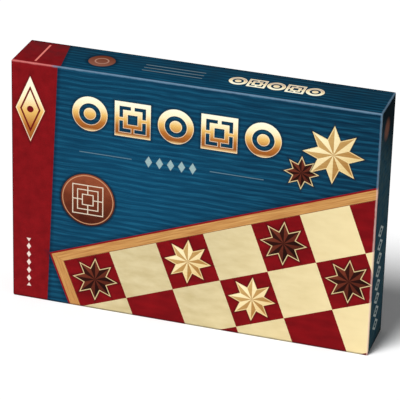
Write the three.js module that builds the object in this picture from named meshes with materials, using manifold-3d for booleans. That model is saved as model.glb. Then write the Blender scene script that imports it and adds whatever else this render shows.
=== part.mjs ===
// A flat game box for draughts and nine men's morris, standing on its long side wall.
//
// A lid shell telescopes over a base shell, both of greyboard wrapped in paper. The base holds a
// thin formed tray. A square board, folded once, and a folded rules leaflet lie in its wide recess,
// and 24 turned wooden men stand on edge in its two round-bottomed troughs.
//
// Everything is built lying flat, as on a table: X along the box, Y across it, Z up to the lid.
// The last group turns the box on its side, so the lid faces -Y and the flat +Y points up.

import * as THREE from 'three';
import { mergeVertices } from 'three/addons/utils/BufferGeometryUtils.js';
import Module from 'manifold-3d';

const wasm = await Module();
wasm.setup();

// Driving sizes, in millimetres. The two shells:
const boxLength = 330;
const boxWidth = 230;
const boxDepth = 50; // over the closed lid and base
const greyboard = 1.9;
const paper = 0.3; // the printed wrap
const turnIn = 16; // how far the wrap folds back inside the rim
const edgeRadius = 0.9; // around the cover and around the base's bottom
const cornerRadius = 1.2; // at the four corners
const baseShow = 1; // how far the base stands out past the lid's rim
const lidPlay = 0.5; // air between the shells on each side
const seatGap = 0.3; // between pieces that rest on each other

// The formed tray, and the recess, notch, troughs and scoops in its deck:
const trayDrop = 1.5; // from the base's rim down to the deck
const trayPlay = 0.4;
const traySheet = 0.8;
const trayDraft = 1.6; // how far its skirt and its wells lean
const trayCorner = 4;
const recessMargin = 5; // from the recess to the tray's long edge
const recessEnd = 8.4; // from the recess to the tray's short edges
const grooveWidth = 9;
const grooveLength = 105;
const grooveDepth = 2.4;
const grooveLean = 1;
const grooveCount = 4;
const notchRadius = 13;
const notchDepth = 15;
const troughMargin = 14; // from the troughs to the tray's long edge
const troughLand = 17; // between the troughs and the recess
const scoopLength = 34;
const scoopReach = 10; // how far a scoop opens past each side of its trough
const scoopDepth = 20;

// The men, on edge in their rows:
const manDiameter = 30;
const manThickness = 9.5;
const manRim = 3.2; // width of the raised rim
const manDish = 1.3; // depth of the dish inside it
const manEdge = 1.3; // bevel of the outer edge
const manCove = 2.6; // from the dish's floor out to the rim
const coveKnee = 0.6; // where the cove bends, as a share of its depth, down and in from the rim
const menInRow = 12;
const manGap = 0.3;
const manPlay = 0.4; // around a man in its trough
const manSink = 0.6; // from the deck down to the men

// The board, folded once, with its playing sheet inside the fold, and the leaflet under it:
const panelThickness = 1.9;
const panelCorner = 1;
const playSheet = 0.25;
const glueLine = 0.05;
const foldGap = 0.4; // between the two leaves of the playing sheet
const foldSetback = 0.3; // from the fold to the panels' edges
const boardPlay = 0.7; // around the board in its recess
const leafletLength = 210;
const leafletPlay = 1.45; // at the leaflet's long sides in the recess
const leafletPaper = 0.25;
const leafletGap = 0.3;

// How finely the curves are drawn:
const bendSteps = 3; // in each quarter turn of a rounded edge or corner
const troughSteps = 14; // in the half round bottom of a trough
const manSides = 24; // around a man

// Sizes that follow from them.
const wall = greyboard + paper;
const rimWall = wall + paper;
const baseLength = boxLength - 2 * (rimWall + lidPlay);
const baseWidth = boxWidth - 2 * (rimWall + lidPlay);
const baseHeight = boxDepth - wall - seatGap;
const trayLength = baseLength - 2 * (rimWall + trayPlay);
const trayWidth = baseWidth - 2 * (rimWall + trayPlay);
const trayFoot = wall + seatGap;
const deck = baseHeight - trayDrop;

const manRadius = manDiameter / 2;
const troughRadius = manRadius + manPlay;
const troughLength = menInRow * manThickness + (menInRow - 1) * manGap + 2 * seatGap;
const troughX = trayLength / 4;
const troughY = -trayWidth / 2 + troughMargin + troughRadius;
const troughZ = deck - manSink - manRadius;

const recessLength = trayLength - 2 * recessEnd;
const recessWidth = trayWidth - recessMargin - troughLand - 2 * troughRadius - troughMargin;
const recessY = trayWidth / 2 - recessMargin - recessWidth / 2;
const boardLength = recessLength - 2 * boardPlay;
const leafWidth = recessWidth - 2 * boardPlay;
const sheetFold = 2 * playSheet + foldGap;
const boardThickness = 2 * (panelThickness + glueLine) + sheetFold;
const leafletThickness = 2 * leafletPaper + leafletGap;
const recessDepth = 2 * seatGap + leafletThickness + boardThickness;
const recessFloor = deck - recessDepth;
const leafletWidth = recessWidth - 2 * leafletPlay;
const leafletZ = recessFloor + seatGap;
const boardZ = leafletZ + leafletThickness + seatGap;
const foldY = recessY + leafWidth / 2;

// Past every face that a cutter goes through.
const over = 2;

// A closed geometry as a solid that can be cut and joined.
function solid(geometry) {
  const bare = geometry.clone();
  bare.deleteAttribute('normal');
  bare.deleteAttribute('uv');
  const merged = mergeVertices(bare, 1e-4);
  return new wasm.Manifold(new wasm.Mesh({
    numProp: 3,
    vertProperties: new Float32Array(merged.attributes.position.array),
    triVerts: new Uint32Array(merged.index.array),
  }));
}

// A solid's surface as a geometry for a mesh.
function surface(body) {
  const { vertProperties, triVerts, numProp } = body.getMesh();
  const geometry = new THREE.BufferGeometry();
  const points = new THREE.InterleavedBuffer(vertProperties, numProp);
  geometry.setAttribute('position', new THREE.InterleavedBufferAttribute(points, 3, 0));
  geometry.setIndex(new THREE.BufferAttribute(triVerts, 1));
  const flat = geometry.toNonIndexed();
  flat.computeVertexNormals();
  return flat;
}

// A named piece with its finish.
function piece(name, shape, finish) {
  const geometry = shape.isBufferGeometry ? shape : surface(shape);
  const material = new THREE.MeshStandardMaterial({ roughness: 0.7, metalness: 0, ...finish });
  const mesh = new THREE.Mesh(geometry, material);
  mesh.name = name;
  return mesh;
}

// The corner points of a rectangle with round corners, anticlockwise.
function roundedRectangle(length, width, radius) {
  const points = [];
  for (let corner = 0; corner < 4; corner += 1) {
    const sideX = corner === 0 || corner === 3 ? 1 : -1;
    const sideY = corner < 2 ? 1 : -1;
    for (let step = 0; step <= bendSteps; step += 1) {
      const angle = (corner + step / bendSteps) * Math.PI / 2;
      points.push([
        sideX * (length / 2 - radius) + radius * Math.cos(angle),
        sideY * (width / 2 - radius) + radius * Math.sin(angle),
      ]);
    }
  }
  return points;
}

// A body skinned over rounded rectangles stacked in Z, from the lowest to the highest.
function stack(sections) {
  const rings = sections.map((s) => roundedRectangle(s.length, s.width, s.radius));
  const count = rings[0].length;
  const positions = rings.flatMap((ring, level) => ring.flatMap(([x, y]) => [x, y, sections[level].z]));
  const index = [];
  for (let level = 0; level + 1 < rings.length; level += 1) {
    for (let i = 0; i < count; i += 1) {
      const a = level * count + i;
      const b = level * count + (i + 1) % count;
      index.push(a, b, b + count, a, b + count, a + count);
    }
  }
  const last = (rings.length - 1) * count;
  for (let i = 1; i + 1 < count; i += 1) {
    index.push(0, i + 1, i, last, last + i, last + i + 1);
  }
  const geometry = new THREE.BufferGeometry();
  geometry.setAttribute('position', new THREE.Float32BufferAttribute(positions, 3));
  geometry.setIndex(index);
  return solid(geometry);
}

// A straight block with round upright corners.
function block(length, width, radius, low, high) {
  return stack([low, high].map((z) => ({ length, width, radius, z })));
}

// An outline in Y and Z carried along X, centred on x = 0.
function alongX(outline, length) {
  const shape = new THREE.Shape(outline.map(([y, z]) => new THREE.Vector2(y, z)));
  const geometry = new THREE.ExtrudeGeometry(shape, { depth: length, bevelEnabled: false });
  geometry.translate(0, 0, -length / 2);
  geometry.applyMatrix4(new THREE.Matrix4().makeBasis(
    new THREE.Vector3(0, 1, 0), new THREE.Vector3(0, 0, 1), new THREE.Vector3(1, 0, 0)));
  return geometry;
}

// A sheet folded once, as a U with leaves of that width, open towards -Y, its fold at y = 0.
function foldedSheet(length, width, thickness, gap) {
  const height = 2 * thickness + gap;
  return alongX([
    [-width, 0], [-thickness / 2, 0], [0, thickness / 2], [0, height - thickness / 2],
    [-thickness / 2, height], [-width, height], [-width, height - thickness],
    [-thickness, height - thickness], [-thickness, thickness], [-width, thickness],
  ], length);
}

// A wrapped shell, closed at z = 0 and open at z = depth, with the edges of its closed face
// rounded and its paper turned in over the rim.
function wrappedShell(length, width, depth) {
  const outside = [];
  for (let step = 0; step <= bendSteps; step += 1) {
    const angle = (step / bendSteps) * Math.PI / 2;
    const inset = edgeRadius * (1 - Math.sin(angle));
    outside.push({
      length: length - 2 * inset,
      width: width - 2 * inset,
      radius: cornerRadius - inset / 2,
      z: edgeRadius * (1 - Math.cos(angle)),
    });
  }
  outside.push({ length, width, radius: cornerRadius, z: depth });
  const inside = cornerRadius / 2;
  return stack(outside)
    .subtract(block(length - 2 * wall, width - 2 * wall, inside, wall, depth - turnIn))
    .subtract(block(length - 2 * rimWall, width - 2 * rimWall, inside, wall + over, depth + over));
}

// The space that one row of men takes, from its round bottom up past the deck, grown by `grow`.
function troughSpace(grow, top) {
  const radius = troughRadius + grow;
  const outline = [];
  for (let step = 0; step <= troughSteps; step += 1) {
    const angle = Math.PI + (step / troughSteps) * Math.PI;
    outline.push([radius * Math.cos(angle), troughZ + radius * Math.sin(angle)]);
  }
  outline.push([radius, top], [-radius, top]);
  return solid(alongX(outline, troughLength + 2 * grow)).translate([0, troughY, 0]);
}

// A well with leaning sides, wider at the deck than at its floor.
function well(length, width, radius, floor, lean, grow, top) {
  return stack([
    { length: length - 2 * lean, width: width - 2 * lean, radius: radius + grow, z: floor - grow },
    { length, width, radius: radius + grow, z: top },
  ].map((s) => ({ ...s, length: s.length + 2 * grow, width: s.width + 2 * grow })));
}

// Everything pressed down into the deck, grown by `grow` for the sheet's underside.
function pressedSpace(grow, top) {
  const sides = [-1, 1];
  const scoopWidth = 2 * (troughRadius + scoopReach);
  const wells = sides.flatMap((side) => [
    troughSpace(grow, top).translate([side * troughX, 0, 0]),
    well(scoopLength, scoopWidth, trayCorner, deck - scoopDepth, trayDraft, grow, top)
      .translate([side * troughX, troughY, 0]),
  ]);
  const recess = well(recessLength, recessWidth, trayCorner / 2, recessFloor, 0, grow, top)
    .translate([0, recessY, 0]);
  const notch = well(2 * notchRadius, 2 * notchRadius, notchRadius - trayDraft, deck - notchDepth,
    trayDraft, grow, top).translate([0, recessY - recessWidth / 2, 0]);
  return wasm.Manifold.union([...wells, recess, notch]);
}

// Grooves pressed into the recess floor, which stiffen it.
function grooveSpace(grow) {
  const pitch = recessLength / (grooveCount + 1);
  const grooves = [];
  for (let groove = 1; groove <= grooveCount; groove += 1) {
    grooves.push(well(grooveWidth, grooveLength, trayCorner / 2, recessFloor - grooveDepth,
      grooveLean, grow, recessFloor + seatGap)
      .translate([groove * pitch - recessLength / 2, recessY, 0]));
  }
  return wasm.Manifold.union(grooves);
}

// The formed tray: an even sheet over the deck, its wells and its skirt.
function formedTray() {
  const form = (grow, foot) => stack([
    { length: trayLength - 2 * trayDraft, width: trayWidth - 2 * trayDraft, z: foot },
    { length: trayLength, width: trayWidth, z: deck - grow },
  ].map((s) => ({
    ...s, length: s.length - 2 * grow, width: s.width - 2 * grow, radius: trayCorner - grow,
  })));
  const upper = form(0, trayFoot).subtract(pressedSpace(0, deck + over)).subtract(grooveSpace(0));
  const under = form(traySheet, trayFoot - over)
    .subtract(pressedSpace(traySheet, deck + over)).subtract(grooveSpace(traySheet));
  return upper.subtract(under);
}

// A turned man: a disc with a raised rim and a shallow dish on both faces, its axis along X.
function turnedMan() {
  const half = manThickness / 2;
  const rimInside = manRadius - manEdge - manRim;
  const knee = coveKnee * manDish;
  const profile = [
    [0, half - manDish], [rimInside - manCove, half - manDish],
    [rimInside - knee, half - knee], [rimInside, half],
    [manRadius - manEdge, half], [manRadius, half - manEdge],
  ];
  const outline = [...profile.map(([radius, height]) => [radius, -height]), ...profile.reverse()];
  const geometry = new THREE.LatheGeometry(outline.map(([r, z]) => new THREE.Vector2(r, z)), manSides);
  geometry.rotateZ(-Math.PI / 2);
  return geometry;
}

const printedCard = { color: 0x1d4f77, roughness: 0.35 };
const plainCard = { color: 0x16304a, roughness: 0.6 };
const formedSheet = { color: 0xeeeeea, roughness: 0.3 };
const boardCard = { color: 0xc9a06a, roughness: 0.45 };
const chequeredPaper = { color: 0xa01c22, roughness: 0.45 };
const leafletStock = { color: 0xf4f1e8, roughness: 0.6 };
const lightWood = { color: 0xe6cc8c, roughness: 0.4 };
const darkWood = { color: 0x4a1d14, roughness: 0.3 };

const flatBox = new THREE.Group();

const baseShell = piece('base_shell', wrappedShell(baseLength, baseWidth, baseHeight), plainCard);
flatBox.add(baseShell);

const lidShell = piece('lid_shell', wrappedShell(boxLength, boxWidth, boxDepth - baseShow), printedCard);
lidShell.rotation.x = Math.PI;
lidShell.position.z = boxDepth;
flatBox.add(lidShell);

flatBox.add(piece('insert_tray', formedTray(), formedSheet));

const board = new THREE.Group();
board.position.set(0, foldY, boardZ);
const panelWidth = leafWidth - foldSetback;
const panel = (low) => block(boardLength, panelWidth, panelCorner, low, low + panelThickness)
  .translate([0, -foldSetback - panelWidth / 2, 0]);
board.add(piece('board_panel_lower', panel(0), boardCard));
board.add(piece('board_panel_upper', panel(boardThickness - panelThickness), boardCard));
const playingSheet = piece('board_play_sheet',
  foldedSheet(boardLength, leafWidth, playSheet, foldGap), chequeredPaper);
playingSheet.position.z = panelThickness + glueLine;
board.add(playingSheet);
flatBox.add(board);

const leaflet = piece('rules_leaflet',
  foldedSheet(leafletLength, leafletWidth, leafletPaper, leafletGap), leafletStock);
leaflet.position.set(0, recessY + leafletWidth / 2, leafletZ);
flatBox.add(leaflet);

const rows = [
  { shade: 'light', side: -1, finish: lightWood },
  { shade: 'dark', side: 1, finish: darkWood },
];
for (const { shade, side, finish } of rows) {
  const row = new THREE.Group();
  row.position.set(side * troughX, troughY, troughZ);
  for (let i = 0; i < menInRow; i += 1) {
    const man = piece(`man_${shade}_${String(i + 1).padStart(2, '0')}`, turnedMan(), finish);
    man.position.x = (i - (menInRow - 1) / 2) * (manThickness + manGap);
    row.add(man);
  }
  flatBox.add(row);
}

// Stand the box on its long side wall, with the origin under its middle.
const box = new THREE.Group();
flatBox.rotation.x = Math.PI / 2;
flatBox.position.set(0, boxDepth / 2, boxWidth / 2);
box.add(flatBox);

export default box;
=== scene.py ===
"""A flat game box for draughts and nine men's morris, dressed in its printed paper, card and wood.

The box stands on its long side wall. Sizes are in millimetres, and the meshes are in metres.
"""

import math

import bmesh
import bpy
import numpy as np
from mathutils import Matrix, Vector


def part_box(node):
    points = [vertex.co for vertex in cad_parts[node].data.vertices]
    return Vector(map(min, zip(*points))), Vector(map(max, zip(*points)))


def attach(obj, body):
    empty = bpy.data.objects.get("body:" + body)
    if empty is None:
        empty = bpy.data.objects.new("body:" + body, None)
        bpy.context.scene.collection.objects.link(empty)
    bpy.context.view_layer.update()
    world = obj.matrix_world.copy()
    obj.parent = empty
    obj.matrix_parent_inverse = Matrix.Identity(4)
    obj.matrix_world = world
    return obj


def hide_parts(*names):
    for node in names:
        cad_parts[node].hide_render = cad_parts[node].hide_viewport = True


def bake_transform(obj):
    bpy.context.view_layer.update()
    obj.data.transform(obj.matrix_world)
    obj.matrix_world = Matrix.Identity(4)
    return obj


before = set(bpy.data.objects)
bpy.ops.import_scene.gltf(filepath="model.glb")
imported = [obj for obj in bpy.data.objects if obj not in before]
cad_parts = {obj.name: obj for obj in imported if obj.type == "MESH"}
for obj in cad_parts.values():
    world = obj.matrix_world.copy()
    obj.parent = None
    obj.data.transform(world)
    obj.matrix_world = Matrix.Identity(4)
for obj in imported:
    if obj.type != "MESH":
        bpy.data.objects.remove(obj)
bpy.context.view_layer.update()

# The camera, the pale floor and the light.
# A long lens looks down on the box from its right. A large soft light stands high in front and a
# little to the left, so the right wall stays dark and a soft shadow lies behind the box to the right.
MM = 0.001
lens_pixels = 2474.5
frame_pixels = 400
sensor = 36
target = Vector((8.95, -25.0, 124.48)) * MM
distance = 2140 * MM
yaw, pitch, roll = -0.291, 0.452, 0.028

forward = Vector((math.sin(yaw) * math.cos(pitch), math.cos(yaw) * math.cos(pitch), -math.sin(pitch)))
level = Vector((math.cos(yaw), -math.sin(yaw), 0))
upright = level.cross(forward)
right = level * math.cos(roll) + upright * math.sin(roll)
up = upright * math.cos(roll) - level * math.sin(roll)
camera = bpy.data.objects.new("camera", bpy.data.cameras.new("camera"))
camera.data.sensor_width = sensor
camera.data.lens = lens_pixels / frame_pixels * sensor
camera.data.clip_end = 20
camera.matrix_world = Matrix.Translation(target - forward * distance) @ Matrix(
    (right, up, -forward)).transposed().to_4x4()
bpy.context.scene.collection.objects.link(camera)
bpy.context.scene.camera = camera


def far_light(name, towards, power, width):
    """A light so far off that it is even over the floor. `towards` points at it, and it is `width`
    degrees across, which softens its shadows."""
    light = bpy.data.lights.new(name, "SUN")
    light.energy = power
    light.angle = math.radians(width)
    holder = bpy.data.objects.new(name, light)
    holder.rotation_euler = Vector(towards).to_track_quat("Z", "Y").to_euler()
    bpy.context.scene.collection.objects.link(holder)


far_light("key", (-0.27, -0.49, 0.88), 3.25, 24)

world = bpy.data.worlds.new("studio")
world.use_nodes = True
sky = world.node_tree.nodes["Background"].inputs
sky["Color"].default_value = (1, 1, 1, 1)
sky["Strength"].default_value = 0.2
bpy.context.scene.world = world
bpy.context.scene.view_settings.view_transform = "Standard"

floor_half = 30
floor_corners = [(x * floor_half, y * floor_half, 0) for x, y in ((-1, -1), (1, -1), (1, 1), (-1, 1))]
floor_mesh = bpy.data.meshes.new("floor")
floor_mesh.from_pydata(floor_corners, [], [(0, 1, 2, 3)])
floor = bpy.data.objects.new("floor", floor_mesh)
bpy.context.scene.collection.objects.link(floor)
floor_paint = bpy.data.materials.new("floor_paint")
floor_paint.use_nodes = True
floor_shader = floor_paint.node_tree.nodes["Principled BSDF"]
floor_shader.inputs["Base Color"].default_value = (0.97, 0.97, 0.97, 1)
floor_shader.inputs["Roughness"].default_value = 0.9
floor_shader.inputs["Specular IOR Level"].default_value = 0
floor_mesh.materials.append(floor_paint)


# The lid, a greyboard shell wrapped in one sheet of printed paper.
# The sheet is printed flat, glued on, folded over the cover's four edges and turned in over the rim.
# The cover and the ring of walls are two pieces here, which meet inside the thickness of the board.
box_length, box_width, cover_y, lid_rim_y = 330, 230, -25, 24
box_middle = box_width / 2
board_and_paper = 2.2
paper_thickness = 0.3
turned_in = 16
edge_radius, corner_radius, tightest_corner, rim_radius = 0.9, 1.2, 0.3, 0.6
bow_depth, bow_length, bow_width = 0.06, 71, 47


def round_the_box(side_steps=44, arc_steps=5):
    """Once round a rectangle with round corners. Each point is a place on the smaller rectangle of
    the corners' centres, as shares of its half sides, and the direction that it looks out in."""
    shares, looks = [], []
    corners = np.array(((1, 1), (-1, 1), (-1, -1), (1, -1)))
    for quarter, corner in enumerate(corners):
        angles = (quarter + np.linspace(0, 1, arc_steps + 1)) * math.pi / 2
        arc = np.stack([np.cos(angles), np.sin(angles)], 1)
        along = np.linspace(0, 1, side_steps + 1)[1:-1, None]
        side = corner + (corners[(quarter + 1) % 4] - corner) * along
        shares += [np.tile(corner, (arc_steps + 1, 1)), side]
        looks += [arc, np.tile(arc[-1], (side_steps - 1, 1))]
    return np.concatenate(shares), np.concatenate(looks)


def joined(rings):
    """The quads that join rings of points. Each row of numbers is a ring, which closes on itself."""
    ahead = np.roll(rings, -1, 1)
    return np.stack([rings[:-1], ahead[:-1], ahead[1:], rings[1:]], 2).reshape(-1, 4)


def carried_round(profile, length, width, middle, closed=False):
    """A profile carried round an upright rectangle with round corners, whose middle is at that
    height. Its rows are how far a point lies in from the rectangle's edge, its Y, and how far along
    the paper it is past the face's edge. One that isn't closed starts and ends on the middle line.
    Gives the points, the quads and the places of the quads' corners on the paper laid flat."""
    shares, looks = round_the_box()
    inset, y, run = np.array(profile, float).T[:, :, None]
    radius = np.minimum(np.maximum(corner_radius - inset, tightest_corner), width / 2 - inset)
    half = np.stack([length / 2 - inset - radius, width / 2 - inset - radius], 2)
    flat = shares * half + looks * radius[:, :, None]
    x, z = flat[..., 0], flat[..., 1]
    y, run = (np.broadcast_to(values, x.shape) for values in (y, run))
    grid = np.arange(x.size).reshape(x.shape)
    quads = joined(np.vstack([grid, grid[:1]]) if closed else grid)
    flank = np.abs(looks + np.roll(looks, -1, 0)).argmax(1)
    flank = np.tile(flank, len(quads) // len(looks))[:, None]
    x, y, z, run = (values.ravel() for values in (x, y, z, run))
    over_edge = np.maximum(run[quads], 0) * (run[quads].max(1) > 0)[:, None]
    u = x[quads] + (flank == 0) * np.sign(x[quads]) * over_edge + length / 2
    v = z[quads] + (flank == 1) * np.sign(z[quads]) * over_edge + width / 2
    return np.stack([x, y, z + middle], 1), quads, np.stack([u, v], 2)


def row_of(quads):
    """Which row of its profile each quad of a carried profile starts at."""
    return np.arange(len(quads)) // len(round_the_box()[0])


def made(name, points, faces, materials, wears=None, sheet=None, smooth_below=35):
    """A piece of these points and faces, with points that coincide merged and the faces turned
    outwards. `wears` gives each face's material, and `sheet` its corners' places on a map."""
    mesh = bpy.data.meshes.new(name)
    mesh.from_pydata((np.asarray(points) * MM).tolist(), [], faces.tolist())
    for material in materials:
        mesh.materials.append(material)
    if wears is not None:
        mesh.polygons.foreach_set("material_index", np.asarray(wears, np.int32))
    if sheet is not None:
        mesh.uv_layers.new(name="sheet").data.foreach_set("uv", np.asarray(sheet, np.float32).ravel())
    shell = bmesh.new()
    shell.from_mesh(mesh)
    bmesh.ops.remove_doubles(shell, verts=shell.verts, dist=1e-7)
    bmesh.ops.recalc_face_normals(shell, faces=shell.faces)
    shell.to_mesh(mesh)
    shell.free()
    mesh.shade_smooth()
    mesh.set_sharp_from_angle(angle=math.radians(smooth_below))
    piece = bpy.data.objects.new(name, mesh)
    bpy.context.scene.collection.objects.link(piece)
    return piece


class Field:
    """A number or colour at each point of a surface: one output of a shader node."""

    def __init__(self, socket):
        self.socket, self.tree = socket, socket.id_data

    def __add__(self, other): return worked_out("ADD", self, other)
    def __sub__(self, other): return worked_out("SUBTRACT", self, other)
    def __rsub__(self, other): return worked_out("SUBTRACT", other, self)
    def __mul__(self, other): return worked_out("MULTIPLY", self, other)
    def __truediv__(self, other): return worked_out("DIVIDE", self, other)
    def __mod__(self, other): return worked_out("FLOORED_MODULO", self, other)
    def __neg__(self): return worked_out("MULTIPLY", self, -1)
    def __abs__(self): return worked_out("ABSOLUTE", self)


def node_field(tree, kind, inputs, output=0, **settings):
    """The output of a new shader node with these settings. An input is a constant or a field."""
    node = tree.nodes.new("ShaderNode" + kind)
    for name, value in settings.items():
        setattr(node, name, value)
    for name, value in inputs.items():
        if isinstance(value, Field):
            tree.links.new(value.socket, node.inputs[name])
        else:
            node.inputs[name].default_value = value
    return Field(node.outputs[output])


def parts(vector):
    """A vector's X, Y and Z."""
    node = node_field(vector.tree, "SeparateXYZ", {0: vector}).socket.node
    return [Field(output) for output in node.outputs]


def worked_out(operation, *values, clamped=False):
    """The result of one sum on numbers and fields."""
    tree = next(value.tree for value in values if isinstance(value, Field))
    return node_field(tree, "Math", dict(enumerate(values)), operation=operation, use_clamp=clamped)


def larger(first, second): return worked_out("MAXIMUM", first, second)
def smaller(first, second): return worked_out("MINIMUM", first, second)


def inside(distance, soft=0.25):
    """1 where the distance is below 0, and 0 above it, over an edge that is `soft` wide."""
    return worked_out("MULTIPLY_ADD", distance, -1 / soft, 0.5, clamped=True)


def between(low, high, value):
    """0 below the low value, 1 above the high one, and straight in between."""
    return worked_out("MULTIPLY_ADD", value, 1 / (high - low), -low / (high - low), clamped=True)


def from_point(u, v, centre):
    """The distance from a point of the sheet."""
    return worked_out("SQRT", (u - centre[0]) * (u - centre[0]) + (v - centre[1]) * (v - centre[1]))


def noise(u, v, along, across, layer, detail=3):
    """Smooth noise about 0, from about -0.5 to 0.5, with spots of that length and width. Each layer
    is another noise."""
    place = node_field(v.tree, "CombineXYZ", {0: u / along, 1: v / across, 2: layer})
    return node_field(v.tree, "TexNoise", {"Vector": place, "Scale": 1, "Detail": detail}) - 0.5


def chequers(a, b, layer):
    """1 on every other unit square and 0 on the rest. The next layer has them the other way round."""
    place = node_field(a.tree, "CombineXYZ", {0: a, 1: b, 2: layer})
    return node_field(a.tree, "TexChecker", {"Vector": place, "Scale": 1}, 1)


def ink(colour):
    """A colour as the light that it gives back. It is a field, which stays as it is, or else three
    numbers from 0 to 255 as it shows on a screen."""
    if isinstance(colour, Field):
        return colour
    return tuple((value / 255 / 12.92) if value < 10.3 else ((value / 255 + 0.055) / 1.055) ** 2.4
                 for value in colour) + (1,)


def laid(below, above, share):
    """One colour laid over another, by that share from 0 to 1."""
    tree = next(value.tree for value in (share, below, above) if isinstance(value, Field))
    return node_field(tree, "Mix", {0: share, 6: ink(below), 7: ink(above)}, 2, data_type="RGBA")


def graded(value, *stops):
    """A colour that follows a number from 0 to 1 through these stops of a place and a colour."""
    ramp = value.tree.nodes.new("ShaderNodeValToRGB")
    value.tree.links.new(value.socket, ramp.inputs[0])
    while len(ramp.color_ramp.elements) < len(stops):
        ramp.color_ramp.elements.new(0.5)
    for element, (place, colour) in zip(ramp.color_ramp.elements, stops):
        element.position, element.color = place, ink(colour)
    return Field(ramp.outputs[0])


def new_material(name):
    """A new material and its shader."""
    material = bpy.data.materials.new(name)
    material.use_nodes = True
    return material, material.node_tree.nodes["Principled BSDF"]


def finished(shader, colour, roughness, height, depth):
    """Sets a shader's colour and roughness fields, and a bump of that depth in millimetres."""
    links = shader.id_data.links
    links.new(colour.socket, shader.inputs["Base Color"])
    links.new(roughness.socket, shader.inputs["Roughness"])
    bump = shader.id_data.nodes.new("ShaderNodeBump")
    bump.inputs["Distance"].default_value = depth * MM
    links.new(height.socket, bump.inputs["Height"])
    links.new(bump.outputs[0], shader.inputs["Normal"])


plank_pitch = 5.3
painted_light_middle, painted_light_reach = (115, 125), 215


def planks(u, v):
    """Blue stained wood: dark wavy lines along the box, a little over 5 mm apart, with finer streaks
    between them, under a painted pool of light left of the cover's middle that fades to painted shade
    further out."""
    waves = noise(u, v, 52, 26, 1, detail=1) * 5.5 + noise(u, v, 17, 9, 2, detail=1) * 1.2
    lines = worked_out("SINE", (v + waves) * (2 * math.pi / plank_pitch))
    streaks = noise(u, v + waves, 26, 1.1, 3, detail=4)
    shade = lines * (noise(u, v, 40, 14, 4, detail=1) * 0.35 + 0.19) + streaks * 1.5 + 0.5
    blue = graded(shade, (0.1, (2, 34, 56)), (0.5, (8, 58, 82)), (0.85, (24, 90, 118)))
    # A painted pool of light, lightest left of the cover's middle, with painted shade further out.
    painted_light = inside(from_point(u, v, painted_light_middle) - painted_light_reach / 2, painted_light_reach)
    return laid(blue, laid((3, 34, 56), (12, 88, 128), painted_light), 0.34)


strip_width, strip_slope, fold_slope, wall_slope = 32.9, 0.0426, 1.3, -0.17


def red_strip(u, v, colour):
    """A red strip down the left end, with a dark edge on the planks. It widens up the cover and over
    the fold, and narrows along the upper wall."""
    past_fold = larger(v - box_width, 0)
    widening = smaller(v, box_width) * strip_slope + smaller(past_fold, 2) * fold_slope
    past = u - (widening + past_fold * wall_slope + strip_width)
    shadow = inside(past - 1.5, 5) * 0.75
    worn = noise(u, v, 9, 9, 5) + noise(u, v, 1.2, 1.2, 6) * 0.5
    red = graded(worn + 0.5, (0.2, (112, 10, 16)), (0.75, (136, 17, 23)))
    return laid(laid(colour, (6, 16, 34), shadow), red, inside(past, 0.5))


board_corner, board_turn = (37, 48), math.radians(21)
printed_square, printed_frame = 46, 9


def draughtboard(u, v, colour):
    """A board seen from above, turned 21 degrees: a thin red line, a light wooden frame and red and
    cream squares, with a soft shadow on the planks round it. `a` runs along the board's upper side
    and `b` down its left one."""
    x, y = u - board_corner[0], v - board_corner[1]
    a = x * math.cos(board_turn) + y * math.sin(board_turn)
    b = x * math.sin(board_turn) - y * math.cos(board_turn)
    within = smaller(a, b)
    colour = laid(colour, (5, 20, 38), inside(-3 - within, 7) * 0.7)
    colour = laid(colour, (135, 16, 22), inside(-1.6 - within))
    down_left = inside(a - b, 0.3)
    upper_grain = noise(a, b, 26, 1.3, 7)
    grain = upper_grain + (noise(b, a, 26, 1.3, 8) - upper_grain) * down_left
    wood = graded(grain + 0.5, (0.25, (166, 108, 56)), (0.6, (202, 150, 88)), (0.85, (220, 176, 114)))
    mitre = inside(abs(a - b) - 0.2, 0.5) * 0.5
    wood = laid(wood, (120, 70, 30), mitre)
    colour = laid(colour, wood, inside(-within))
    squares = chequers((a - printed_frame) / printed_square, (b - printed_frame) / printed_square, 1.5)
    mottle = noise(u, v, 20, 8, 9) * 0.8 + 0.5
    red = graded(mottle, (0.2, (98, 6, 13)), (0.8, (138, 14, 21)))
    cream = graded(mottle, (0.2, (190, 172, 124)), (0.8, (224, 210, 168)))
    cream = laid(cream, (246, 226, 172), between(170, 330, u) * 0.75)
    colour = laid(colour, (110, 60, 26), inside(printed_frame - 0.4 - within))
    return laid(colour, laid(cream, red, squares), inside(printed_frame - within))


notch_share = 0.55


def star(u, v, colour, centre, radius, shades):
    """An eight-pointed star of inlaid wood, with a thin pale seam and a soft shadow. Each ray is two
    facets, one lit and one in shade. The shades run from dark to light. The distance out from the
    star is that from the line through the nearest tip and notch."""
    dark, plain, light = shades
    out = from_point(u, v, centre)
    ray = worked_out("ARCTAN2", v - centre[1], u - centre[0]) * (4 / math.pi) + 8
    off_ridge = ray - worked_out("ROUND", ray)
    angle = abs(off_ridge) * (math.pi / 4)
    aside = out * worked_out("SINE", angle)
    notch = [radius * notch_share * share for share in (math.cos(math.pi / 8), math.sin(math.pi / 8))]
    side = math.hypot(radius - notch[0], notch[1])
    edge = ((out * worked_out("COSINE", angle) - radius) * (notch[1] / side)
            + aside * ((radius - notch[0]) / side))
    grain = noise(u + v * 0.3, v, 22, 1.6, 10, detail=4)
    lean = ((v - centre[1]) - (u - centre[0])) / (2.6 * radius)
    lit = laid(plain, light, between(-0.5, 0.4, lean + grain * 0.5))
    shaded = laid(dark, plain, between(-0.4, 1.0, lean + grain * 0.6))
    facets = laid(lit, shaded, between(-0.015, 0.015, off_ridge))
    facets = laid(facets, dark, inside(aside - 0.05, 0.4) * 0.5)
    facets = laid(facets, (238, 214, 158), inside(abs(edge + 0.5) - 0.35, 0.35) * 0.85)
    colour = laid(colour, (20, 8, 8), inside(edge - 0.8, 2.6) * 0.7)
    return laid(colour, facets, inside(edge, 0.3))


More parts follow.
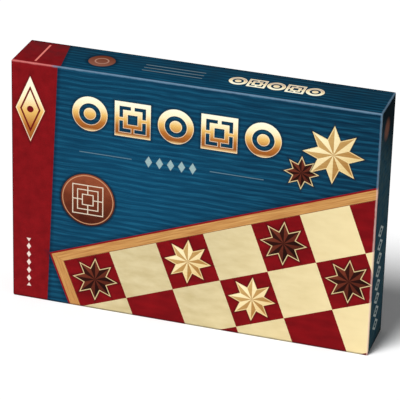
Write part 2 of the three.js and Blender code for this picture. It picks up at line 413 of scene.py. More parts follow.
def gold(v, low, high):
    """Foil that runs from a brown foot to a cream top between two heights."""
    return graded(between(low, high, v),
                  (0, (244, 206, 140)), (0.1, (150, 84, 34)), (0.3, (178, 108, 44)),
                  (0.52, (232, 186, 104)), (0.72, (252, 236, 190)), (1, (255, 250, 226)))


gold_bevel = (255, 248, 222)


def gold_figures(u, v, colour, foil, start, pitch, count, middle, size):
    """A row of gold figures, a ring with a disc in it and two nested squares joined by bars, in turn.
    Each has a pale bevel and a dark halo. Its parts are shares of its size, which is half its
    height."""
    step = (u - start) / pitch
    x = (u - start) % pitch - pitch / 2
    y = v - middle
    out = from_point(x, y, (0, 0))
    ring = smaller(abs(out - size * 0.79) - size * 0.19, out - size * 0.34)
    apart = larger(abs(x), abs(y))
    bar = larger(smaller(abs(x), abs(y)) - size * 0.1, abs(apart - size * 0.58) - size * 0.3)
    nested = smaller(smaller(abs(apart - size * 0.86), abs(apart - size * 0.4)) - size * 0.13, bar)
    odd = worked_out("GREATER_THAN", step % 2, 1)
    shape = ring + (nested - ring) * odd
    past_ends = worked_out("GREATER_THAN", abs(u - start - pitch * count / 2), pitch * count / 2)
    shape = shape + past_ends * size
    colour = laid(colour, (3, 16, 34), inside(shape - size * 0.06, size * 0.24) * 0.8)
    foil = laid(foil, gold_bevel, inside(abs(shape + 0.35) - 0.2, 0.4) * 0.75)
    return laid(colour, foil, inside(shape, 0.35))


def lozenge(u, v, centre, half_width, half_height):
    """The distance out from a lozenge, below 0 within it."""
    share = abs(u - centre[0]) / half_width + abs(v - centre[1]) / half_height - 1
    return share * (half_width * half_height / math.hypot(half_width, half_height))


def three_squares(apart, *reaches):
    """The distance from the nearest line of three nested squares. `apart` is how far a point lies
    from their middle, by the larger of its two sides, and the reaches are half their widths."""
    outer, middle, inner = (abs(apart - reach) for reach in reaches)
    return smaller(smaller(outer, middle), inner)


row_start, row_pitch, row_height, row_size = 53, 39, 190, 16.5
beads_middle, beads_height, bead_pitch = 146.5, 153, 10
badge_centre, badge_radius = (71, 107), 25
drop_centre, drop_half_width, drop_half_height = (17.5, 186), 13.5, 31
chain_middle, chain_height, chain_pitch = 15.5, 36, 8


def cover_figures(u, v, colour):
    """The figures on the cover: a row of gold ones, two fine lines with lozenges between them, a round
    badge with a morris figure, and a gold lozenge and a chain of small ones on the red strip."""
    foil = gold(v, row_height - row_size, row_height + row_size)
    colour = gold_figures(u, v, colour, foil, row_start, row_pitch, 5, row_height, row_size)

    along = u - beads_middle
    lines = larger(abs(v - beads_height) - 0.35, abs(abs(along) - 59.5) - 24)
    bead = lozenge((along + bead_pitch / 2) % bead_pitch, v, (bead_pitch / 2, beads_height), 3.2, 5.2)
    beads = larger(bead, abs(along) - bead_pitch * 2.5)
    colour = laid(colour, (176, 209, 216), inside(lines, 0.5) * 0.27)
    colour = laid(colour, (166, 192, 190), inside(beads, 0.5) * 0.8)

    out = from_point(u, v, badge_centre)
    colour = laid(colour, (10, 18, 28), inside(out - badge_radius - 1.5, 2.5) * 0.85)
    rust = graded(between(82, 132, v) + noise(u, v, 7, 7, 11) * 0.5,
                  (0.1, (74, 28, 15)), (0.55, (110, 50, 29)), (0.9, (140, 72, 46)))
    badge = laid(rust, (206, 150, 112), inside(abs(out - badge_radius + 1.6) - 0.35, 0.6))
    x, y = abs(u - badge_centre[0]), abs(v - badge_centre[1])
    apart = larger(x, y)
    crossing = larger(smaller(x, y), abs(apart - 9.5) - 4.5)
    morris = smaller(three_squares(apart, 14, 9.5, 5), crossing) - 0.4
    badge = laid(badge, (240, 228, 204), inside(morris, 0.5) * 0.9)
    colour = laid(colour, badge, inside(out - badge_radius))

    drop = lozenge(u, v, drop_centre, drop_half_width, drop_half_height)
    colour = laid(colour, (60, 4, 8), inside(drop - 1, 3) * 0.6)
    foil = laid(gold(v, 152, 214), gold_bevel, inside(abs(drop + 0.5) - 0.3, 0.4) * 0.7)
    colour = laid(colour, foil, inside(drop))
    colour = laid(colour, (110, 14, 18), inside(abs(drop + 4.4) - 0.8, 0.3))
    colour = laid(colour, (110, 14, 18), inside(from_point(u, v, drop_centre) - 3.1, 0.4))
    link = lozenge(u, v % chain_pitch, (chain_middle, chain_pitch / 2), 2.0, 3.2)
    chain = larger(link, abs(v - chain_height) - chain_pitch * 3)
    return laid(colour, (246, 226, 214), inside(chain, 0.5) * 0.92)


wall_height, wall_badge_middle, wall_row_size = 255, 74.5, 8.2
mark_pitch = 13


def wall_figures(u, v, colour):
    """The figures on the walls: on the upper one a line across the red strip, a small badge, fine
    lines and a row of small gold figures, and on the right one a column of grey lozenges and a spot."""
    across_strip = larger(abs(u - 20.5) - 0.8, abs(v - wall_height + 1) - 19)
    colour = laid(colour, (238, 136, 124), inside(across_strip, 0.5) * 0.85)

    out = from_point(u, v, (wall_badge_middle, wall_height))
    rust = graded(between(243, 267, v), (0, (134, 86, 70)), (1, (100, 46, 28)))
    badge = laid(rust, (168, 126, 108), inside(abs(out - 5.8) - 0.6, 0.5))
    colour = laid(colour, (8, 26, 40), inside(out - 14, 4) * 0.75)
    colour = laid(colour, badge, inside(out - 11.8, 0.6))
    lines = larger(abs((v - wall_height + 9) % 6 - 3) - 0.4, abs(v - wall_height) - 9)
    colour = laid(colour, (168, 176, 170), inside(larger(lines, abs(u - 140) - 27), 0.5) * 0.5)
    foil = laid(gold(v, wall_height + wall_row_size, wall_height - wall_row_size), (238, 248, 226), 0.35)
    colour = gold_figures(u, v, colour, foil, 189, 17, 5, wall_height, wall_row_size)

    past = u - box_length
    mark = lozenge(past, v % mark_pitch, (23, mark_pitch / 2), 10, 6)
    mark = smaller(abs(mark + 1.2) - 1, mark + 4.2)
    marks = larger(mark, abs(v - mark_pitch * 5) - mark_pitch * 4)
    colour = laid(colour, (214, 222, 216), inside(marks, 0.6) * 0.5)
    spot = from_point(past, v, (22, 207)) - 8.5
    return laid(colour, (150, 96, 74), inside(spot, 6) * 0.45)


def sheet_place(shader):
    """How far right and up each point lies on the piece's sheet of paper laid flat."""
    return parts(node_field(shader.id_data, "UVMap", {}, uv_map="sheet"))[:2]


def paper_with_edge_wear_and_light(shader, u, v, colour, length, width, pale, gloss):
    """Finishes paper: pale where the folds over the upper and right edges of a rectangle have rubbed and
    carry a painted highlight, and darker along the lower and left ones with painted shade, with fine
    fibres and an uneven sheen. `gloss` is 0 for matt paper."""
    ragged = noise(u, v, 6, 6, 12, detail=4) * 1.2
    # Pale along the upper and right folds: partly real wear, partly a painted highlight on edges that face
    # the light.
    worn = inside(smaller(abs(u - length), abs(v - width)) - 1.15 - ragged, 1.1) * 0.6
    # Darker along the lower and left edges: painted shade, a contact shadow line.
    painted_edge_shade = inside(smaller(abs(u), abs(v) * 0.7) - 0.9 - ragged * 0.5, 1.2) * 0.7
    colour = laid(colour, (16, 10, 16), painted_edge_shade)
    fibres = noise(u, v, 0.35, 0.35, 13, detail=4)
    roughness = noise(u, v, 30, 30, 14) * 0.12 + fibres * 0.1 + worn * 0.3 + 0.34
    shader.inputs["Specular IOR Level"].default_value = gloss
    finished(shader, laid(colour, pale, worn), roughness, fibres + ragged * 0.5, 0.03)


strip_end, board_end = 38, 160


def rubbed(u, v, planks_edge, strip_edge, board_edge):
    """The pale colours of the folds, which are rubbed and carry a painted highlight. The board lies at
    the right fold up to the height where its frame ends, and the strip at the left end of the upper one."""
    beside_strip = laid(planks_edge, strip_edge, inside(u - strip_end, 4))
    return laid(beside_strip, board_edge, inside(v - board_end, 3))


def printed_cover():
    """The print on the cover, laid on in its order."""
    material, shader = new_material("lid_print")
    u, v = sheet_place(shader)
    colour = draughtboard(u, v, red_strip(u, v, planks(u, v)))
    pale_wood = (166, 118, 60), (220, 188, 122), (252, 238, 192)
    dark_wood = (26, 8, 6), (66, 24, 16), (112, 50, 34)
    for column, row, shades in ((0, 0, dark_wood), (2, 0, pale_wood), (3, 1, pale_wood),
                                (4, 0, dark_wood), (5, 1, dark_wood)):
        along, down = (printed_frame + printed_square * (place + 0.5) for place in (column, row))
        centre = (board_corner[0] + along * math.cos(board_turn) + down * math.sin(board_turn),
                  board_corner[1] + along * math.sin(board_turn) - down * math.cos(board_turn))
        colour = star(u, v, colour, centre, 21.5, shades)
    colour = star(u, v, colour, (263, 165), 16, dark_wood)
    colour = star(u, v, colour, (290, 186), 27, pale_wood)
    colour = cover_figures(u, v, colour)
    # The fold colours: pale from wear and from a painted highlight.
    pale = rubbed(u, v, (122, 150, 174), (226, 132, 128), (236, 202, 192))
    paper_with_edge_wear_and_light(shader, u, v, colour, box_length, box_width, pale, 0.04)
    return material


def printed_walls():
    """The print on the walls: the planks and the red strip go on round the edges, with painted shade
    that darkens them towards the rim and a dark line of painted shade just under it. The right wall is
    greyer, and nearly black at its upper end."""
    material, shader = new_material("lid_wall_print")
    u, v = sheet_place(shader)
    colour = red_strip(u, v, planks(u, v))
    past = larger(abs(u - box_length / 2) - box_length / 2, abs(v - box_middle) - box_middle)
    mottle = noise(u, v, 9, 9, 16, detail=5)
    # Painted shade: the walls grow darker towards the rim.
    colour = laid(colour, (32, 42, 44), between(-22, 58, past) * (mottle * 0.8 + 0.42))
    at_right = between(box_length, box_length + 0.5, u)
    colour = laid(colour, (54, 74, 78), at_right * (mottle * 1.8 + 0.6))
    colour = laid(colour, (12, 14, 18), at_right * between(190, 232, v + past * 0.7) * 0.85)
    colour = wall_figures(u, v, colour)
    # A thin line of painted shade just under the rim.
    colour = laid(colour, (7, 10, 18), between(46.5, 48, past) * 0.8)
    # The fold colours: pale from wear and from a painted highlight.
    pale = rubbed(u, v, (114, 140, 162), (216, 122, 118), (222, 188, 180))
    paper_with_edge_wear_and_light(shader, u, v, colour, box_length, box_width, pale, 0)
    return material


def millimetres(shader):
    """The place of each point of the piece, in millimetres."""
    place = node_field(shader.id_data, "TexCoord", {}, "Object")
    return node_field(shader.id_data, "VectorMath", {0: place, 1: (1000, 1000, 1000)}, operation="MULTIPLY")


def lined_board(name, colour, speck):
    """Bare greyboard lined with thin paper: a flat colour with fibres and specks of pulp."""
    material, shader = new_material(name)
    tree, place = shader.id_data, millimetres(shader)
    fibre = node_field(tree, "TexNoise", {"Vector": place, "Scale": 1.6, "Detail": 5, "Roughness": 0.7})
    cloud = node_field(tree, "TexNoise", {"Vector": place, "Scale": 0.05, "Detail": 2})
    shade = laid(colour, speck, between(0.5, 0.72, fibre) * 0.5)
    shade = laid(shade, speck, between(0.4, 0.7, cloud) * 0.12)
    finished(shader, shade, fibre * 0.2 + 0.7, fibre, 0.04)
    return material


def wrapped_wall(start, rim, first_run, inner_end):
    """The section of a wrapped wall: down its outside, over the rounded rim and back inside, with
    the step at the cut edge of the turned-in paper. Rows are inset, Y and run."""
    way = math.copysign(1, rim - start)
    arc = np.linspace(0, math.pi / 2, 4)
    rim_inset = board_and_paper + paper_thickness
    rows = [(0, y) for y in np.linspace(start, rim - way * rim_radius, 8)[:-1]]
    rows += [(rim_radius * (1 - math.cos(a)), rim - way * rim_radius * (1 - math.sin(a))) for a in arc]
    rows += [(rim_inset - rim_radius * (1 - math.sin(a)), rim - way * rim_radius * (1 - math.cos(a)))
             for a in arc]
    rows += [(rim_inset, y) for y in np.linspace(rim, rim - way * turned_in, 5)[1:]]
    rows += [(board_and_paper, rim - way * (turned_in + paper_thickness))]
    rows = np.array(rows)
    steps = np.hypot(*np.diff(rows, axis=0).T)
    run = first_run + np.concatenate([[0], np.cumsum(steps)])
    bare = [(board_and_paper, y, run[-1]) for y in np.linspace(rows[-1, 1], inner_end, 4)[1:]]
    return np.concatenate([np.column_stack([rows, run]), bare]), len(rows) - 1


def face_and_edge(width, face, way):
    """The section of a shell's closed face, from its middle line out and over its rounded edge. Rows
    are inset, Y and run, which is below 0 on the face."""
    arc = np.linspace(0, math.pi / 2, 5)[1:]
    rows = [(inset, face, -1) for inset in (*np.linspace(width / 2, 5, 12), 2, edge_radius)]
    rows += [(edge_radius * (1 - math.sin(a)), face + way * edge_radius * (1 - math.cos(a)),
              edge_radius * (a / math.pi * 4 - 1) * 0.7) for a in arc]
    return rows


grey_lining = (206, 203, 196), (120, 116, 108)
lid_lining = lined_board("lid_lining", *grey_lining)
inner_face = cover_y + board_and_paper
profile = face_and_edge(box_width, cover_y, 1)
outside_rows = len(profile)
profile += [(inset, inner_face, board_and_paper) for inset in (0, board_and_paper, 60, box_width / 2)]
points, quads, sheet = carried_round(profile, box_length, box_width, box_middle)
bow = (np.cos(points[:, 0] / bow_length) * np.cos((points[:, 2] - box_middle) / bow_width) + 1) * bow_depth
points[:, 1] += bow * (points[:, 1] < cover_y + 1e-6)
cover = made("lid_cover", points, quads, [printed_cover(), lid_lining], row_of(quads) > outside_rows, sheet)
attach(cover, "lid")
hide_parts("lid_shell")

profile, paper_rows = wrapped_wall(inner_face, lid_rim_y, board_and_paper, inner_face)
points, quads, sheet = carried_round(profile, box_length, box_width, box_middle, closed=True)
walls = made("lid_walls", points, quads, [printed_walls(), lid_lining], row_of(quads) >= paper_rows, sheet)
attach(walls, "lid")
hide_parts("lid_shell")


# The base, a second wrapped shell, which the lid slides over.
# Its greyboard is wrapped in plain dark blue paper, turned in over the rim as the lid's is. A thin
# line of it shows behind the lid's rear edge, and its whole bottom shows from behind.
base_length, base_width, base_back_y, base_rim_y = 324, 224, 25, -22.5


def plain_wrap():
    """Dark blue matt paper, cloudy from the glue under it."""
    material, shader = new_material("base_paper")
    u, v = sheet_place(shader)
    cloud = noise(u, v, 45, 38, 21, detail=4) + noise(u, v, 2.5, 2.5, 22, detail=3) * 0.3 + 0.5
    colour = graded(cloud, (0.2, (14, 30, 44)), (0.8, (24, 46, 64)))
    paper_with_edge_wear_and_light(shader, u, v, colour, base_length, base_width, (112, 128, 146), 0.1)
    return material


base_floor = base_back_y - board_and_paper
profile = face_and_edge(base_width, base_back_y, -1)
wall_rows, paper_rows = wrapped_wall(base_back_y - edge_radius - 1, base_rim_y, edge_radius + 1, base_floor)
paper_rows += len(profile)
profile += [tuple(row) for row in wall_rows]
profile += [(inset, base_floor, wall_rows[-1][2]) for inset in (60, base_width / 2)]
points, quads, sheet = carried_round(profile, base_length, base_width, box_middle)
base_lining = lined_board("base_lining", *grey_lining)
base = made("base_wrap", points, quads, [plain_wrap(), base_lining], row_of(quads) >= paper_rows, sheet)
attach(base, "base")
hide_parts("base_shell")


# The tray, formed from one thin sheet of white plastic over a mould.
# Its deck is a grid of heights, which each well lowers inside its outline, round at its top and its
# bottom. The skirt carries on from the deck's edge, and the sheet's back lies behind its front.
tray_length, tray_width, tray_corner = 318.2, 218.2, 4
deck_height, recess_height, foot_height = 46, 39.8, 2.5
drawn_radius, skirt_lean, plastic_thickness = 1.3, 1.6, 0.8
trough_x, trough_y, trough_height, trough_radius = 79.55, -79.7, 30.4, 15.4
recess_y, notch_y, notch_radius = 28.4, -47.3, 13
tray_base_y, widest_square = 25, 4
# The wells' middles, lengths, widths, corner radii, floors, leans and heights of their upper edges.
recess = (0, recess_y, 301.4, 151.4, 1.2, recess_height, 0.5, deck_height)
notch = (0, notch_y, 2 * notch_radius, 2 * notch_radius, notch_radius, 31, 1.6, deck_height)
scoops = [(x, trough_y, 34, 50.8, 4, 26, 1.6, deck_height) for x in (-trough_x, trough_x)]
troughs = [(x, trough_y, 117.9, 2 * trough_radius, 0.6, trough_height - trough_radius, 0.15, deck_height)
           for x in (-trough_x, trough_x)]
grooves = [(x * 60.28, recess_y, 9, 105, 2, 37.4, 1, recess_height) for x in (-1.5, -0.5, 0.5, 1.5)]


def wall_of_well(well):
    """The section of a well's wall: round over the edge, down the lean and round into the floor.
    Gives how far in from the outline each point lies, and its height."""
    bottom, lean, top = well[5:]
    bend = np.linspace(0, math.pi / 2, 4)
    radius = min(drawn_radius, (top - bottom) / 2)
    return (np.concatenate([radius * (np.sin(bend) - 1), lean + radius * (1 - np.cos(bend))]),
            np.concatenate([top - radius * (1 - np.cos(bend)), bottom + radius * (1 - np.sin(bend))]))


def pressed_down(x, y, well):
    """How high one well lets the sheet lie at each place, with no limit outside its wall."""
    middle_x, middle_y, length, width, corner = well[:5]
    off_x = np.abs(x - middle_x) - length / 2 + corner
    off_y = np.abs(y - middle_y) - width / 2 + corner
    inward = (corner - np.hypot(np.maximum(off_x, 0), np.maximum(off_y, 0))
              - np.minimum(np.maximum(off_x, off_y), 0))
    return np.interp(inward, *wall_of_well(well), left=np.inf)


def grid_lines(reach, axis, extra):
    """The places of the grid's lines along one axis: at each bend of each wall, and between them no
    further apart than the widest square."""
    places = list(extra)
    for well in (recess, notch, *scoops, *troughs, *grooves):
        inward = wall_of_well(well)[0]
        for side in (-1, 1):
            places += (well[axis] + side * (well[2 + axis] / 2 - inward)).tolist()
    places = np.unique(np.round([place for place in places if abs(place) < reach], 1))
    places = np.concatenate([[-reach], places, [reach]])
    return np.concatenate([np.linspace(low, high, math.ceil((high - low) / widest_square) + 1)[:-1]
                           for low, high in zip(places, places[1:])] + [[reach]])


def formed_tray():
    """The sheet's front as a grid and a skirt, and its back one thickness behind. The grid's corners
    are drawn in to the deck's round corners, and its squares about the notch to circles."""
    block = tray_corner - drawn_radius
    reach = np.array([tray_length, tray_width]) / 2 - drawn_radius
    inner = reach - block
    round_bottom = trough_y + trough_radius * np.sin(np.linspace(-1.4, 1.4, 15))
    lines_x = grid_lines(reach[0], 0, (-inner[0], inner[0]))
    lines_y = grid_lines(reach[1], 1, (-inner[1], inner[1], *round_bottom))
    x, y = np.meshgrid(lines_x, lines_y, indexing="ij")

    past_x, past_y = (np.clip(np.abs(places) - start, 0, None) / block
                      for places, start in ((x, inner[0]), (y, inner[1])))
    x = np.sign(x) * (np.minimum(np.abs(x), inner[0]) + block * past_x * np.sqrt(1 - past_y ** 2 / 2))
    y = np.sign(y) * (np.minimum(np.abs(y), inner[1]) + block * past_y * np.sqrt(1 - past_x ** 2 / 2))
    off_x, off_y = x, y - notch_y
    square = np.maximum(np.abs(off_x), np.abs(off_y))
    share = np.clip((notch_radius + 8 - square) / 6, 0, 1)
    draw_in = 1 + share * (square / np.maximum(np.hypot(off_x, off_y), 1e-9) - 1)
    x, y = off_x * draw_in, notch_y + off_y * draw_in

    height = np.full(x.shape, float(deck_height))
    for well in (recess, notch, *scoops, *grooves):
        height = np.minimum(height, pressed_down(x, y, well))
    across = np.sqrt(np.maximum(trough_radius ** 2 - (y - trough_y) ** 2, 0))
    for well in troughs:
        height = np.minimum(height, np.maximum(pressed_down(x, y, well), trough_height - across))
    front = np.stack([x, y, height], 2).reshape(-1, 3)
    grid = np.arange(x.size).reshape(x.shape)
    quads = [np.stack([grid[:-1, :-1], grid[1:, :-1], grid[1:, 1:], grid[:-1, 1:]], 2).reshape(-1, 4)]

    rim = np.concatenate([grid[:-1, 0], grid[-1, :-1], grid[:0:-1, -1], grid[0, :0:-1]])
    from_corner = front[rim, :2] - np.clip(front[rim, :2], -inner, inner)
    outward = from_corner / np.linalg.norm(from_corner, axis=1)[:, None]
    bend = np.linspace(0, math.pi / 2, 5)[1:]
    outsets = np.concatenate([drawn_radius * np.sin(bend), [drawn_radius - skirt_lean]])
    heights = np.concatenate([deck_height - drawn_radius * (1 - np.cos(bend)), [foot_height]])
    skirt = [np.column_stack([front[rim, :2] + outset * outward, np.full(len(rim), height)])
             for outset, height in zip(outsets, heights)]
    rings = np.vstack([rim, len(front) + np.arange(len(rim) * len(skirt)).reshape(len(skirt), -1)])
    quads.append(joined(rings[::-1]))
    front, quads = np.concatenate([front, *skirt]), np.concatenate(quads)

    cross = np.cross(front[quads[:, 2]] - front[quads[:, 0]], front[quads[:, 3]] - front[quads[:, 1]])
    facing = np.zeros(front.shape)
    for corner in range(4):
        np.add.at(facing, quads[:, corner], cross)
    back = front - facing / np.linalg.norm(facing, axis=1)[:, None] * plastic_thickness
    foot = joined(np.stack([rings[-1], rings[-1] + len(front)]))
    points = np.concatenate([front, back])
    return (np.column_stack([points[:, 0], tray_base_y - points[:, 2], box_middle + points[:, 1]]),
            np.concatenate([quads, quads[:, ::-1] + len(front), foot]))


def formed_plastic():
    """White plastic, a little uneven in its gloss, with shallow ripples where it was drawn down."""
    material, shader = new_material("tray_plastic")
    place = millimetres(shader)
    ripple = node_field(shader.id_data, "TexNoise", {"Vector": place, "Scale": 0.05, "Detail": 2})
    scuff = node_field(shader.id_data, "TexNoise", {"Vector": place, "Scale": 0.8, "Detail": 5})
    colour = graded(ripple, (0.3, (214, 214, 206)), (0.7, (224, 224, 218)))
    finished(shader, colour, scuff * 0.2 + 0.14, ripple * 4 + scuff * 0.05, 0.05)
    return material


tray = made("formed_tray", *formed_tray(), [formed_plastic()], smooth_below=40)
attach(tray, "tray")
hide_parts("insert_tray")


# The board, two greyboard panels wrapped in paper, which fold face to face.
# The paper on their outer sides carries the morris figure, half on each panel, and is printed as
# pale wood with dark brown lines. The fold is at the top, and lies at the middle of the figure.
board_length, panel_width, fold_height, panel_top = 300, 149.7, 218.4, 218.1
panel_thickness, panel_edge = 1.9, 0.45
morris_reaches, dot_radius, border_reach = (120, 80, 40), 3.4, 144


def morris_print():
    """Printed wood with three nested squares about the fold, bars that join the middles of their
    sides, and a dot at each of the figure's points."""
    material, shader = new_material("board_card")
    along, _, height = parts(millimetres(shader))
    x, z = abs(along), fold_height - height
    grain = noise(along, z, 70, 3, 31, detail=5) * 1.4
    rings = worked_out("SINE", (z + noise(x, z, 80, 30, 32, detail=1) * 22) * 1.1) * 0.12
    wood = graded(grain + rings + 0.5,
                  (0.15, (176, 128, 78)), (0.5, (206, 160, 104)), (0.85, (224, 184, 130)))
    apart = larger(x, z)
    bars = larger(smaller(x, z), abs(apart - morris_reaches[1]) - morris_reaches[2])
    figure = smaller(three_squares(apart, *morris_reaches), bars) - 0.7
    for reach in morris_reaches:
        for corner in ((0, reach), (reach, 0), (reach, reach)):
            figure = smaller(figure, from_point(x, z, corner) - dot_radius)
    colour = laid(wood, (70, 34, 20), inside(figure, 0.3) * 0.92)
    colour = laid(colour, (120, 20, 24), inside(border_reach - apart, 0.4))
    fibres = noise(x, z, 0.4, 0.4, 33)
    finished(shader, colour, fibres * 0.1 + grain * 0.05 + 0.42, fibres, 0.03)
    return material


board_print = morris_print()
arc = np.linspace(0, math.pi / 2, 5)
for name, body, low_y in (("board_panel_lower", "board", -18.1),
                          ("board_panel_upper", "board_flap", -21.0)):
    high_y = low_y + panel_thickness
    near = [(panel_edge * (1 - math.sin(a)), low_y + panel_edge * (1 - math.cos(a)), 0) for a in arc]
    far = [(inset, low_y + high_y - y, 0) for inset, y, _ in near[::-1]]
    profile = [(panel_width / 2, low_y, 0), (panel_width / 4, low_y, 0), *near, *far,
               (panel_width / 4, high_y, 0), (panel_width / 2, high_y, 0)]
    points, quads, _ = carried_round(profile, board_length, panel_width, panel_top - panel_width / 2)
    panel = made(name.replace("board_panel", "panel"), points, quads, [board_print])
    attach(panel, body)
    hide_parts(name)


# The playing sheet, one printed paper glued to both panels inside the fold, which is the hinge.
leaf_width, sheet_thickness, sheet_gap, sheet_middle_y = 150, 0.25, 0.4, -18.6
fold_run = 150.06
play_square, play_field, cream_line = 33, 132, 136


def folded(length, leaf, thickness, gap, middle_y, fold_z, steps):
    """A sheet folded once at the top. Its section is a line offset to both sides by half the sheet's
    thickness: up one leaf, over a half circle and down the other, with Y and Z as the two parts of
    complex numbers. It is carried along X. Gives the points, the quads and the corners' places along
    X and along the sheet."""
    bend = (gap + thickness) / 2
    turn_z = fold_z - gap / 2 - thickness
    straight = leaf - (fold_z - turn_z)
    rise = np.linspace(0, straight, steps)
    arc = np.linspace(0, math.pi, 13)[1:-1]
    turn = np.exp(1j * arc)
    line = np.concatenate([bend + 1j * (rise - straight), bend * turn, -bend - 1j * rise])
    out = np.concatenate([np.ones(steps), turn, -np.ones(steps)]) * thickness / 2
    run = np.concatenate([rise, straight + bend * arc, straight + bend * math.pi + rise])
    loop = np.concatenate([line + out, (line - out)[::-1]])
    loop_run = np.concatenate([run, run[::-1]])
    x = np.linspace(-length / 2, length / 2, steps * 2)[:, None]
    count = len(loop)
    points = np.stack(np.broadcast_arrays(x, loop.real + middle_y, loop.imag + turn_z), 2).reshape(-1, 3)
    grid = np.arange(len(points)).reshape(-1, count)
    outer = np.arange(count // 2 - 1)
    cap = np.stack([outer, outer + 1, count - 2 - outer, count - 1 - outer], 1)
    quads = np.concatenate([joined(grid), cap, cap + grid[-1, 0]])
    places = np.stack([points[:, 0], np.tile(loop_run, len(grid))], 1)
    return points, quads, places[quads]


def chequered_print():
    """Red and cream squares, eight by eight, in a dark red margin with a cream line. The paper is
    rubbed pale along its edges and along the fold."""
    material, shader = new_material("play_print")
    x, run = sheet_place(shader)
    y = run - fold_run
    apart = larger(abs(x), abs(y))
    mottle = noise(x, y, 20, 8, 41) * 0.8 + noise(x, y, 1.5, 1.5, 42) * 0.3 + 0.5
    red = graded(mottle, (0.2, (104, 6, 12)), (0.8, (140, 12, 20)))
    cream = graded(mottle, (0.2, (214, 190, 134)), (0.8, (240, 224, 180)))
    squares = chequers(x / play_square + 40, y / play_square + 40, 0.5)
    colour = laid(red, laid(cream, red, squares), inside(apart - play_field))
    colour = laid(colour, cream, inside(abs(apart - cream_line) - 0.7))
    edge = smaller(abs(abs(x) - leaf_width), abs(abs(y) - leaf_width))
    worn = inside(smaller(edge - 0.2, abs(y) - 0.1) - noise(x, y, 5, 5, 44, detail=4) * 1.2, 0.8) * 0.5
    colour = laid(colour, (214, 170, 160), worn)
    fibres = noise(x, y, 0.4, 0.4, 43)
    shader.inputs["Specular IOR Level"].default_value = 0.25
    finished(shader, colour, fibres * 0.1 + worn * 0.4 + 0.4, fibres + worn, 0.03)
    return material


points, quads, places = folded(board_length, leaf_width, sheet_thickness, sheet_gap, sheet_middle_y,
                               fold_height, 24)
play_sheet = made("play_sheet", points, quads, [chequered_print()], sheet=places)
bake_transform(play_sheet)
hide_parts("board_play_sheet")


# The rules leaflet, one sheet of thin paper folded once, which lies under the board.
# It is printed with two small figures and with plain grey lines in two columns.
leaflet_length, leaflet_leaf, leaflet_sheet, leaflet_gap = 210, 148.5, 0.25, 0.3
leaflet_middle_y, leaflet_fold = -15.5, 217.65
text_width, text_height, text_middle, text_pitch, gutter = 84, 124, 74, 5, 12
picture_x, picture_y, picture_half = 48, 40, 22


def leaflet_print():
    """Cream paper with ragged grey lines in two columns, and in each column a small morris figure."""
    material, shader = new_material("leaflet_paper")
    x, run = sheet_place(shader)
    y = abs(run - leaflet_leaf)
    at_right = worked_out("GREATER_THAN", x, 0)
    across = x + (text_width + gutter / 2) - at_right * (text_width + gutter)
    line_number = worked_out("FLOOR", y / text_pitch) + at_right * 40
    ragged = larger(noise(1, line_number, 1, 1.7, 51, detail=0) * 60, 0)
    lines = larger(abs(y % text_pitch - text_pitch / 2) - 0.6, abs(y - text_middle) - text_height / 2)
    column = larger(abs(across - text_width / 2) - text_width / 2, across - text_width + ragged)
    paper = graded(noise(x, y, 30, 30, 52) + 0.5, (0.3, (240, 236, 224)), (0.7, (250, 248, 240)))
    colour = laid(paper, (120, 120, 122), inside(larger(lines, column), 0.4) * 0.75)
    apart = larger(abs(abs(x) - picture_x), abs(y - picture_y))
    colour = laid(colour, paper, inside(apart - picture_half))
    colour = laid(colour, (120, 24, 26), inside(three_squares(apart, 18, 12, 6) - 0.35, 0.4))
    fibres = noise(x, y, 0.5, 0.5, 53)
    finished(shader, colour, fibres * 0.1 + 0.6, fibres, 0.03)
    return material


points, quads, places = folded(leaflet_length, leaflet_leaf, leaflet_sheet, leaflet_gap, leaflet_middle_y,
                               leaflet_fold, 12)
leaflet = made("leaflet", points, quads, [leaflet_print()], sheet=places)
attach(leaflet, "leaflet")
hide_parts("rules_leaflet")


# The men, 12 light and 12 dark, each turned from a slice of hardwood and lacquered.
# Both faces have a raised rim and a dish with a fine ring in it. They stand on edge in the troughs.
man_radius, man_half, man_rim, man_dish, man_edge = 15, 4.75, 3.2, 1.3, 1.3
man_pitch, first_slice = 9.8, -400.15
cove_width, rim_crown, dish_crown = 1.8, 0.12, 0.25
ring_place, ring_width, ring_depth = 0.55, 0.45, 0.3


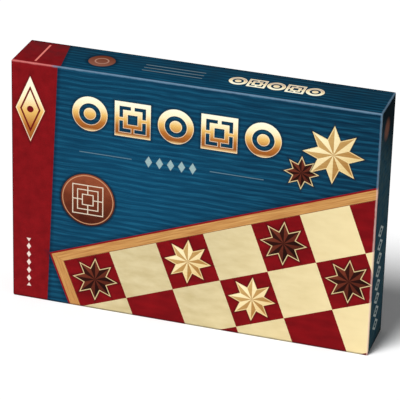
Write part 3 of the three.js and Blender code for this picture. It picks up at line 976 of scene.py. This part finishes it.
def turned_face():
    """Half the profile of a man, from the middle of a face to its widest: a shallow crown, a fine
    ring, the cove up to the rim, the rim's own crown and the round outer edge. Rows are radius and
    height over the middle plane."""
    rim_start = man_radius - man_edge - man_rim
    dish_out = np.linspace(0, rim_start - cove_width, 16)
    dish_height = man_half - man_dish + dish_crown * (1 - (dish_out / rim_start) ** 2)
    dish_height -= ring_depth * np.exp(-((dish_out - rim_start * ring_place) / ring_width) ** 2)
    rise = np.linspace(0, math.pi, 9)[1:]
    cove_out = rim_start - cove_width + cove_width * rise / math.pi
    cove_height = man_half - man_dish + (1 - np.cos(rise)) / 2 * (man_dish - rim_crown)
    share = np.linspace(0, 1, 7)[1:]
    rim_out = rim_start + share * man_rim
    rim_height = man_half - rim_crown * (2 * share - 1) ** 2
    bend = np.linspace(0, math.pi / 2, 9)[1:]
    edge_out = man_radius - man_edge + man_edge * np.sin(bend)
    edge_height = man_half - rim_crown - (man_edge - rim_crown) * (1 - np.cos(bend))
    return (np.concatenate([dish_out, cove_out, rim_out, edge_out]),
            np.concatenate([dish_height, cove_height, rim_height, edge_height]))


def turned_man(centre, steps=72):
    """A profile turned about an axis along X through the centre, closed at both faces' middles."""
    radius, height = turned_face()
    radius = np.concatenate([radius, radius[::-1]])
    height = np.concatenate([height, -height[::-1]])
    angle = np.arange(steps) / steps * 2 * math.pi
    points = np.stack(np.broadcast_arrays(
        centre[0] + height[:, None],
        centre[1] + radius[:, None] * np.cos(angle),
        centre[2] + radius[:, None] * np.sin(angle)), 2).reshape(-1, 3)
    return points, joined(np.arange(len(points)).reshape(-1, steps))


def turned_wood(name, dark, plain, light):
    """Lacquered hardwood: fibres along Z, growth bands across them, and flecks. Each man is cut from
    another place in the plank, which is set by its place in the row."""
    material, shader = new_material(name)
    x, y, z = parts(millimetres(shader))
    slice_number = worked_out("FLOOR", (x - first_slice) / man_pitch)
    across = x + y * 0.8 + slice_number * 37
    bands = worked_out("SINE", (across + noise(z, across, 40, 8, 61, detail=2) * 9) * 1.3) * 0.16
    fibres = noise(z, across, 11, 0.5, 62, detail=4)
    flecks = between(0.16, 0.3, noise(z, across, 3.2, 0.4, 63, detail=2))
    shade = bands + fibres * 0.8 + 0.5
    colour = graded(shade, (0.1, dark), (0.5, plain), (0.9, light))
    colour = laid(colour, dark, flecks * 0.5)
    finished(shader, colour, fibres * 0.15 + 0.3, fibres - flecks * 0.4, 0.03)
    return material


woods = {
    "light": turned_wood("light_wood", (206, 168, 104), (231, 203, 142), (244, 224, 172)),
    "dark": turned_wood("dark_wood", (40, 14, 10), (78, 30, 20), (108, 48, 32)),
}
for shade, wood in woods.items():
    for number in range(1, 13):
        node = f"man_{shade}_{number:02d}"
        low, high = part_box(node)
        centre = (np.array(low) + np.array(high)) / 2 / MM
        man = made(f"{shade}_man_{number:02d}", *turned_man(centre), [wood], smooth_below=60)
        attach(man, node)
        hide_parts(node)
